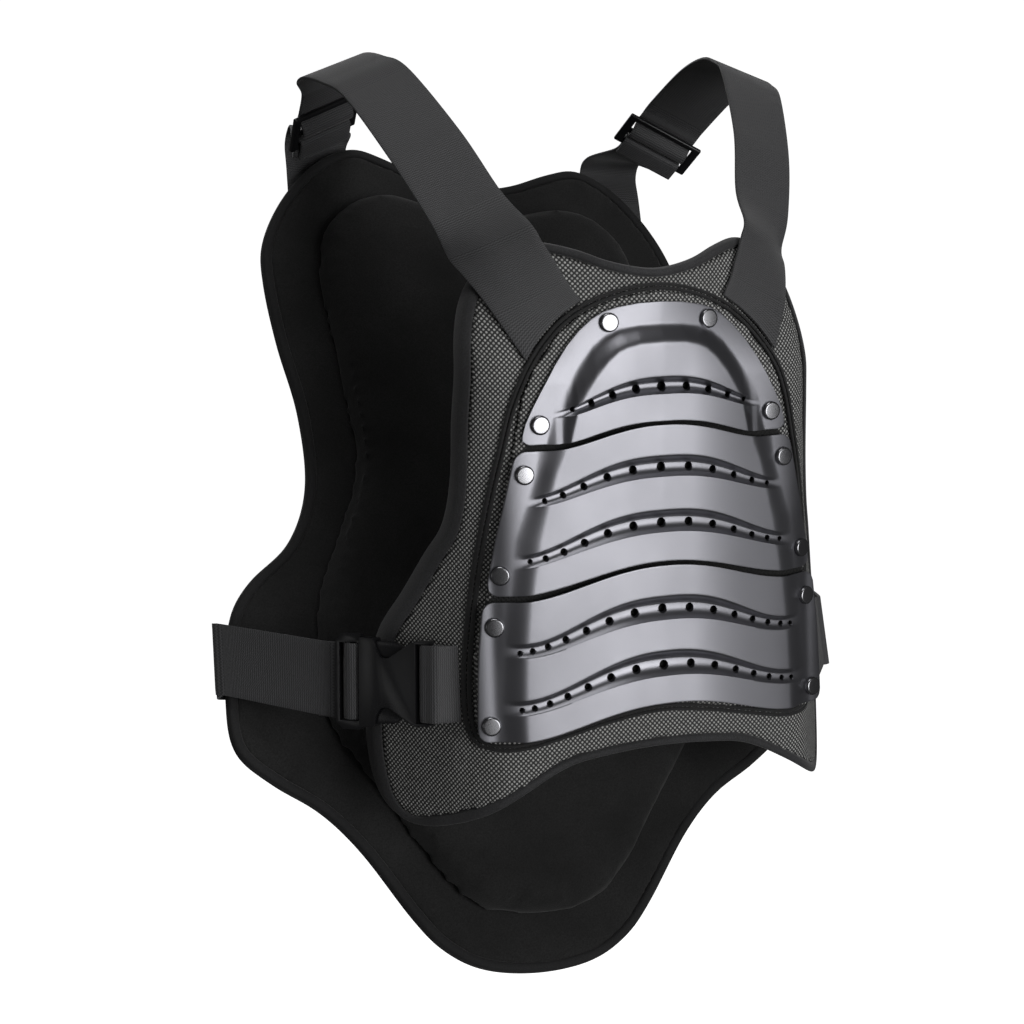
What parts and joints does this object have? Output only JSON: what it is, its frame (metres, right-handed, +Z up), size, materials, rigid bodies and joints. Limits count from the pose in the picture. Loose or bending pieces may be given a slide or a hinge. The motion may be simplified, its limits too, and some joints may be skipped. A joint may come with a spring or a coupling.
{
  "type": "motorcycle body protector vest",
  "caption": "Body protector vest: padded front panel with riveted vented plates, wide padded back panel, webbing shoulder straps with sliders and a belt with a side-release buckle",
  "frame": {"origin": "Middle of the line between the undersides of the two shoulder straps at their highest place, where the wearer's shoulders carry the vest", "axes": "+Z up, -Y the way the wearer faces (front plates), +X the wearer's left"},
  "size_m": [0.4467, 0.3752, 0.6292],
  "materials": {
    "dotted_mesh_fabric": "matt mesh with raised grey dots",
    "black_velour": "matt",
    "edge_tape": "matt",
    "plate_plastic": "satin gunmetal grey",
    "rivet_metal": "glossy black",
    "webbing": "ribbed",
    "buckle_plastic": "glossy"
  },
  "bodies": {
    "root": {"front_panel": "dotted_mesh_fabric", "front_binding": "edge_tape", "plate_pad": "dotted_mesh_fabric", "pad_piping": "edge_tape", "upper_plate": "plate_plastic", "middle_plate": "plate_plastic", "lower_plate": "plate_plastic", "rivet_01": "rivet_metal", "rivet_02": "rivet_metal", "rivet_03": "rivet_metal", "rivet_04": "rivet_metal", "rivet_05": "rivet_metal", "rivet_06": "rivet_metal", "rivet_07": "rivet_metal", "rivet_08": "rivet_metal", "rivet_09": "rivet_metal", "rivet_10": "rivet_metal", "rivet_11": "rivet_metal", "rivet_12": "rivet_metal", "back_panel": "black_velour", "back_pad": "black_velour", "back_binding": "edge_tape", "shoulder_strap_left": "webbing", "shoulder_strap_right": "webbing", "slider_left": "buckle_plastic", "slider_right": "buckle_plastic", "strap_anchor_left": "webbing", "strap_anchor_right": "webbing", "belt_left_back": "webbing", "belt_left_front": "webbing", "belt_right": "webbing", "buckle_male": "buckle_plastic", "buckle_female": "buckle_plastic"}
  },
  "joints": []
}
